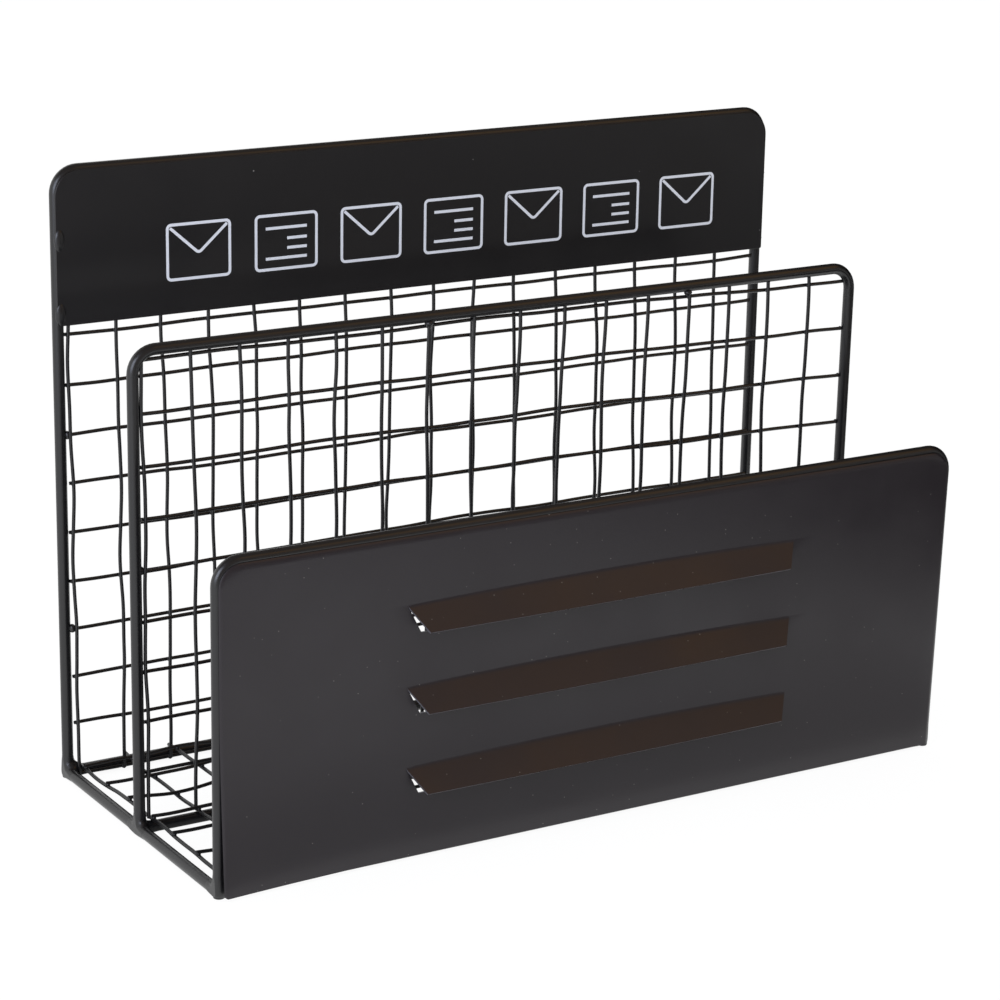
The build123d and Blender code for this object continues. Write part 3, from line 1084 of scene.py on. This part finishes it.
@dataclass
class WeldBeads:
    """Weld beads and tacks, one group for each CAD node of welds, as lumps under the coat.

    The beads of a node that is named in meshes follow the tilt of that mesh's wires at both sides. A bead is
    at a side past the side share of the half width, and those on the right are shrunk into the leg's outline.
    """

    meshes: Mapping[str, WireMesh]
    nodes: tuple[str, ...] = (
        "sign_panel_welds", "front_panel_welds", "rear_mesh_welds", "divider_mesh_welds")
    apart: float = 5 * MM
    side_share: float = 0.9
    swell: float = 1.15
    end_shrink: float = 0.55
    tack_stretch: Point = (2.4, 1.45, 5.0)
    tack_shift: Point = (1.5 * MM, -0.4 * MM, 0.0)
    unevenness: float = 0.44 * MM
    lump: float = 2.2 * MM
    joint_length: float = 11 * MM
    joint_coat: float = 0.55 * MM
    right_coat: float = 0.25 * MM
    joint_taper: float = 1.6
    joint_steps: int = 8
    joint_sides: int = 20
    joint_grain: float = 0.4 * MM
    joint_smoothing: int = 45

    def tree(self) -> ShapeTree:
        """Build the tree that sets an uneven lump of its own size at each point of the carrier.

        Returns:
            The finished tree.
        """
        shape = ShapeTree("weld_beads")
        unevenness, lump = shape.size("Unevenness"), shape.size("Lump")
        ball = shape.add("GeometryNodeMeshIcoSphere", {"Radius": 1.0, "Subdivisions": 4})
        half = shape.add("GeometryNodeInputNamedAttribute", {"Name": "bead_half"}, data_type="FLOAT_VECTOR")
        beads = shape.add("GeometryNodeInstanceOnPoints", {
            "Points": shape.carrier, "Instance": ball, "Scale": half})
        real = shape.add("GeometryNodeRealizeInstances", {"Geometry": beads})
        per_metre = shape.add("ShaderNodeMath", {0: 1.0, 1: lump}, operation="DIVIDE")
        noise = shape.add("ShaderNodeTexNoise", {
            "Vector": shape.add("GeometryNodeInputPosition"), "Scale": per_metre, "Detail": 2.0})
        centred = shape.add("ShaderNodeMath", {0: noise, 1: 0.5}, operation="SUBTRACT")
        height = shape.add("ShaderNodeMath", {0: centred, 1: unevenness}, operation="MULTIPLY")
        push = shape.add("ShaderNodeVectorMath", {
            0: shape.add("GeometryNodeInputNormal"), "Scale": height}, operation="SCALE")
        shape.close(shape.add("GeometryNodeSetPosition", {"Geometry": real, "Offset": push}))
        return shape

    def lumps(self, node: str) -> list[tuple[Vector, Vector]]:
        """Sort the points of a CAD node of welds into its separate beads.

        Args:
            node: Name of the node.

        Returns:
            Middle and half size of each bead.
        """
        groups: list[list[Vector]] = []
        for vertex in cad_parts[node].data.vertices:
            point = vertex.co.copy()
            home = next((group for group in groups if (group[0] - point).length < self.apart), None)
            if home is None:
                groups.append([point])
            else:
                home.append(point)
        found = []
        for group in groups:
            low, high = (Vector([pick(point[axis] for point in group) for axis in range(3)])
                         for pick in (min, max))
            found.append(((low + high) / 2, (high - low) / 2))
        return found

    def joint_arms(self) -> list[tuple[Vector, Vector, float, float]]:
        """Find the rod ends that meet in the six welded joints of the base.

        Returns:
            Start and end of each arm's centre line, the rod's radius, and the coat's thickness at the joint.
        """
        arms = []
        rail_low, rail_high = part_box("left_base_rail")
        for hoop, floor_rod in zip(FrameRods.hoops, FrameRods.floor_rods):
            low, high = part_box(hoop)
            rod_low, rod_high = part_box(floor_rod)
            radius = (high.y - low.y) / 2
            y, z = (low.y + high.y) / 2, (rod_low.z + rod_high.z) / 2
            for x in (low.x + radius, high.x - radius):
                middle = Vector((x, y, z))
                coat = self.joint_coat if x < 0 else self.right_coat
                ways = [(0, 0, 1), (-math.copysign(1, x), 0, 0)]
                ways += [(0, side, 0) for side in (-1, 1)
                         if rail_low.y < y + side * self.joint_length < rail_high.y]
                arms += [(middle, middle + self.joint_length * Vector(way), radius, coat) for way in ways]
        return arms

    def add_arm(self, shape: bmesh.types.BMesh, start: Vector, end: Vector, radius: float,
                coat: float) -> None:
        """Add one arm of a joint: a round stub, thick with coat at the joint and vanishing into its rod.

        Args:
            shape: Mesh that takes the stub.
            start: Middle of the joint.
            end: End of the arm.
            radius: Radius of the rod.
            coat: Thickness of the coat at the joint.
        """
        axis = (end - start).normalized()
        side = axis.orthogonal().normalized()
        other = axis.cross(side)
        start = start - axis * (radius / 2)
        turns = [2 * math.pi * number / self.joint_sides for number in range(self.joint_sides)]
        rings = []
        for step in range(self.joint_steps + 1):
            share = step / self.joint_steps
            wide = radius + coat * (1 - self.joint_taper * share**2)
            centre = start.lerp(end, share)
            rings.append([shape.verts.new(centre + wide * (math.cos(turn) * side + math.sin(turn) * other))
                          for turn in turns])
        for near, far in zip(rings, rings[1:]):
            for number in range(self.joint_sides):
                after = (number + 1) % self.joint_sides
                shape.faces.new((near[number], near[after], far[after], far[number]))
        shape.faces.new(reversed(rings[0]))
        shape.faces.new(rings[-1])

    def joints(self) -> bpy.types.Object:
        """Melt the arms and the beads of the base's joints into smooth coated knuckles.

        Returns:
            The finished piece.
        """
        name = "coated_frame_corner_welds"
        shape = bmesh.new()
        for arm in self.joint_arms():
            self.add_arm(shape, *arm)
        for middle, half in self.lumps("frame_corner_welds"):
            grown = half * (self.swell if middle.x < 0 else 1.0)
            place = Matrix.Translation(middle) @ Matrix.Diagonal((*grown, 1.0))
            bmesh.ops.create_icosphere(shape, subdivisions=3, radius=1.0, matrix=place)
        holder = mesh_piece(f"{name}_raw", shape)
        melt = holder.modifiers.new("melt", "REMESH")
        melt.mode = "VOXEL"
        melt.voxel_size = self.joint_grain
        calm = holder.modifiers.new("calm", "SMOOTH")
        calm.factor = 0.5
        calm.iterations = self.joint_smoothing
        piece = keep_result(name, holder)
        piece.data.materials.append(WELD_COAT.material())
        piece.data.shade_smooth()
        return piece

    def sized(self, node: str) -> list[tuple[Vector, Vector]]:
        """Give each bead of a node its place on the wire and the size that it shows under the coat.

        Args:
            node: Name of the node.

        Returns:
            Middle and half size of each lump.
        """
        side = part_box("sign_panel")[1].x * self.side_share
        beads = []
        for middle, half in self.lumps(node):
            if node in self.meshes and abs(middle.x) > side:
                middle.z += self.meshes[node].lift_at(middle.x)
            if middle.x > side:
                half *= self.end_shrink
            elif node == "sign_panel_welds":
                middle += Vector(self.tack_shift)
                half *= Vector(self.tack_stretch)
            else:
                half *= self.swell
            beads.append((middle, half))
        return beads

    def keep_inside(self, piece: bpy.types.Object, low: Vector, high: Vector) -> None:
        """Hold a piece's points inside the rack's own box.

        Args:
            piece: Piece to hold.
            low: Lowest corner of the box.
            high: Highest corner of the box.
        """
        for vertex in piece.data.vertices:
            vertex.co = [min(max(vertex.co[axis], low[axis]), high[axis]) for axis in range(3)]

    def build(self, box: tuple[Vector, Vector]) -> None:
        """Make each group of beads over its CAD node and hand it over.

        Args:
            box: Lowest and highest corner of the CAD model.
        """
        corners = self.joints()
        self.keep_inside(corners, *box)
        hand_over(corners, ["frame_corner_welds"])
        shape = self.tree()
        for node in self.nodes:
            beads = self.sized(node)
            carrier = carrier_mesh(node, [middle for middle, _ in beads])
            sizes = carrier.attributes.new("bead_half", "FLOAT_VECTOR", "POINT")
            for entry, (_, half) in zip(sizes.data, beads):
                entry.vector = half
            group = shape.bake(f"coated_{node}", carrier, {
                "Unevenness": self.unevenness, "Lump": self.lump, "Finish": WELD_COAT.material()})
            self.keep_inside(group, *box)
            hand_over(group, [node])


@dataclass(frozen=True)
class Card:
    """Dim studio wall that only reflections show, as the dark side of a photographer's tent. The cards that
    lie flat on the table are painted shade instead: grey patches, seen only in reflections, where the table
    lies in the rack's shadow or far from the softbox.

    It faces a direction, straight up where none is given, and is spun by some degrees about that.
    """

    name: str
    place: Point
    size: tuple[float, float]
    colour: str
    facing: Point = (0.0, 0.0, 1.0)
    spin: float = 0.0

    def build(self) -> None:
        """Stand the card in the studio."""
        wide, high = self.size[0] / 2, self.size[1] / 2
        turn = Vector(self.facing).to_track_quat("Z", "Y").to_matrix()
        turn = turn @ Matrix.Rotation(math.radians(self.spin), 3, "Z")
        corners = [Vector(self.place) + turn @ Vector((x, y, 0)) for x, y in
                   ((-wide, -high), (wide, -high), (wide, high), (-wide, high))]
        material = empty_material(f"{self.name}_reflection_card")
        tree = material.node_tree
        glow = add_node(tree, "ShaderNodeEmission", {"Color": linear(self.colour), "Strength": 1.0})
        add_node(tree, "ShaderNodeOutputMaterial", {"Surface": glow})
        mesh = bpy.data.meshes.new(self.name)
        mesh.from_pydata(corners, [], [(0, 1, 2, 3)])
        mesh.materials.append(material)
        card = place_piece(self.name, mesh)
        for ray in ("camera", "diffuse", "shadow", "transmission"):
            setattr(card, f"visible_{ray}", False)
        card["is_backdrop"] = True


@dataclass
class Studio:
    """White table, soft light and the camera of the product photograph."""

    eye: Point = (-617.219 * MM, -993.925 * MM, 456.379 * MM)
    yaw: float = math.radians(31.5103)
    pitch: float = math.radians(16.4569)
    roll: float = math.radians(1.0688)
    lens: float = 111.333
    sensor: float = 36.0
    floor_size: float = 8.0
    floor_colour: str = "#f4f4f4"
    floor_glow: float = 0.9
    floor_light: float = 1.04
    world_fill: float = 0.85
    lamp_place: Point = (-0.65, -0.32, 0.4)
    lamp_aim: Point = (0.0, 0.0, 0.12)
    lamp_size: float = 0.4
    lamp_power: float = 2.2
    lamp_colour: str = "#dfe7ff"
    cards: tuple[Card, ...] = (
        Card("dark_ceiling", (0.3, -0.9, 1.9), (5.0, 5.0), "#80746a", facing=(0.0, 0.0, -1.0)),
        Card("warm_front_ceiling", (1.1, -1.0, 1.7), (1.6, 1.6), "#e4b47a", facing=(-1.1, 1.0, -1.58)),
        Card("right_flag", (1.6, 0.8, 0.9), (4.0, 4.0), "#1a1a1b", facing=(-1.0, 0.0, 0.0)),
        Card("front_wall", (0.4, -2.6, 1.2), (5.0, 5.0), "#968a80", facing=(0.0, 1.0, 0.0)),
        # The cards on the table are painted shade: darker patches that put the rack's shadows and the fall of
        # the softbox's light into what the rack reflects, while the camera still sees a white table
        Card("right_floor_painted_shade", (0.646, -0.598, 0.002), (2.2, 0.95), "#656463", spin=60.0),
        Card("front_floor_painted_shade", (0.05, -0.98, 0.003), (1.3, 0.7), "#383838"),
        Card("foot_shade", (0.02, -0.125, 0.001), (0.4, 0.09), "#d0d0d0"),
        Card("inner_floor_painted_shadow", (0.0, 0.004, 0.0004), (0.32, 0.13), "#858585"),
        Card("right_shade", (0.42, -0.36, 0.005), (0.3, 0.3), "#1c1c1c"))

    def camera(self) -> None:
        """Set the camera where the photograph was taken from."""
        ahead = math.cos(self.pitch)
        forward = Vector((math.sin(self.yaw) * ahead, math.cos(self.yaw) * ahead, -math.sin(self.pitch)))
        level = Vector((math.cos(self.yaw), -math.sin(self.yaw), 0.0))
        above = level.cross(forward)
        right = math.cos(self.roll) * level + math.sin(self.roll) * above
        up = math.cos(self.roll) * above - math.sin(self.roll) * level
        data = bpy.data.cameras.new("photograph_camera")
        data.lens = self.lens
        data.sensor_width = self.sensor
        data.clip_start = 0.05
        data.clip_end = 50.0
        camera = bpy.data.objects.new("photograph_camera", data)
        turn = Matrix((right, up, -forward)).transposed().to_4x4()
        camera.matrix_world = Matrix.Translation(self.eye) @ turn
        bpy.context.scene.collection.objects.link(camera)
        bpy.context.scene.camera = camera

    def seen_directly(self, tree: bpy.types.NodeTree) -> bpy.types.Node:
        """Tell the rays that show the background from the rays that light the rack.

        Args:
            tree: Tree of the floor or the world.

        Returns:
            Node that gives one for a camera, glossy or transmission ray, and zero for the others.
        """
        path = add_node(tree, "ShaderNodeLightPath").outputs
        either = add_node(tree, "ShaderNodeMath", {
            0: path["Is Camera Ray"], 1: path["Is Glossy Ray"]}, operation="MAXIMUM")
        return add_node(tree, "ShaderNodeMath", {
            0: either, 1: path["Is Transmission Ray"]}, operation="MAXIMUM")

    def floor(self) -> None:
        """Lay the white table, which keeps the rack's soft shadow."""
        half = self.floor_size / 2
        material = empty_material("matt_white_table_top")
        tree = material.node_tree
        matt = add_node(tree, "ShaderNodeBsdfDiffuse", {"Color": linear(self.floor_colour)})
        glow = add_node(tree, "ShaderNodeEmission", {"Strength": self.floor_light})
        share = add_node(tree, "ShaderNodeMath", {
            0: self.seen_directly(tree), 1: self.floor_glow}, operation="MULTIPLY")
        both = add_node(tree, "ShaderNodeMixShader", {0: share, 1: matt, 2: glow})
        add_node(tree, "ShaderNodeOutputMaterial", {"Surface": both})
        mesh = bpy.data.meshes.new("white_table")
        mesh.from_pydata([(-half, -half, 0), (half, -half, 0), (half, half, 0), (-half, half, 0)], [],
                         [(0, 1, 2, 3)])
        mesh.materials.append(material)
        table = place_piece("white_table", mesh)
        table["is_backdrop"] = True

    def world(self) -> None:
        """Fill the studio with even white light and a white background."""
        world = bpy.data.worlds.new("white_studio")
        world.use_nodes = True
        tree = world.node_tree
        strength = add_node(tree, "ShaderNodeMapRange", {
            "Value": self.seen_directly(tree), "To Min": self.world_fill, "To Max": 1.0})
        tree.links.new(strength.outputs["Result"], tree.nodes["Background"].inputs["Strength"])
        tree.nodes["Background"].inputs["Color"].default_value = (1.0, 1.0, 1.0, 1.0)
        bpy.context.scene.world = world

    def softbox(self) -> None:
        """Hang the square softbox on the left."""
        data = bpy.data.lights.new("left_softbox", "AREA")
        data.size = self.lamp_size
        data.energy = self.lamp_power
        data.color = linear(self.lamp_colour)[:3]
        lamp = bpy.data.objects.new("left_softbox", data)
        lamp.location = self.lamp_place
        lamp.rotation_mode = "QUATERNION"
        lamp.rotation_quaternion = (Vector(self.lamp_aim) - Vector(self.lamp_place)).to_track_quat("-Z", "Y")
        lamp.visible_camera = False
        bpy.context.scene.collection.objects.link(lamp)

    def build(self) -> None:
        """Set up the whole studio."""
        self.camera()
        self.floor()
        self.world()
        self.softbox()
        for card in self.cards:
            card.build()
        bpy.context.scene.view_settings.view_transform = "Standard"


def main() -> None:
    """Build the studio and every sub-assembly of the rack."""
    logging.basicConfig(level=logging.INFO, format="%(name)s: %(message)s")
    cad_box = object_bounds()
    Studio().build()
    FrameRods().build()
    rear = WireMesh("rear_wire_mesh", "rear_mesh_uprights", "rear_mesh_cross_wire_", Lie.STANDING, seed=0.31,
                    right_lift=0.9 * MM, lift_from=-130 * MM, lift_to=60 * MM)
    divider = WireMesh("divider_wire_mesh", "divider_mesh_uprights", "divider_mesh_cross_wire_", Lie.STANDING,
                       seed=1.7, left_lift=0.9 * MM, right_lift=-1.0 * MM, foot_sink=2.2 * MM)
    base = WireMesh("base_wire_mesh", "base_mesh_depth_wires", "base_mesh_cross_wire_", Lie.FLAT, seed=2.9,
                    cross_sway=1.4 * MM, bow=1.2 * MM, wave_length=38 * MM)
    for mesh in (rear, divider, base):
        mesh.build()
    SignPanel().build()
    LouvrePanel().build()
    WeldBeads({"rear_mesh_welds": rear, "divider_mesh_welds": divider}).build(cad_box)


if __name__ == "__main__":
    main()
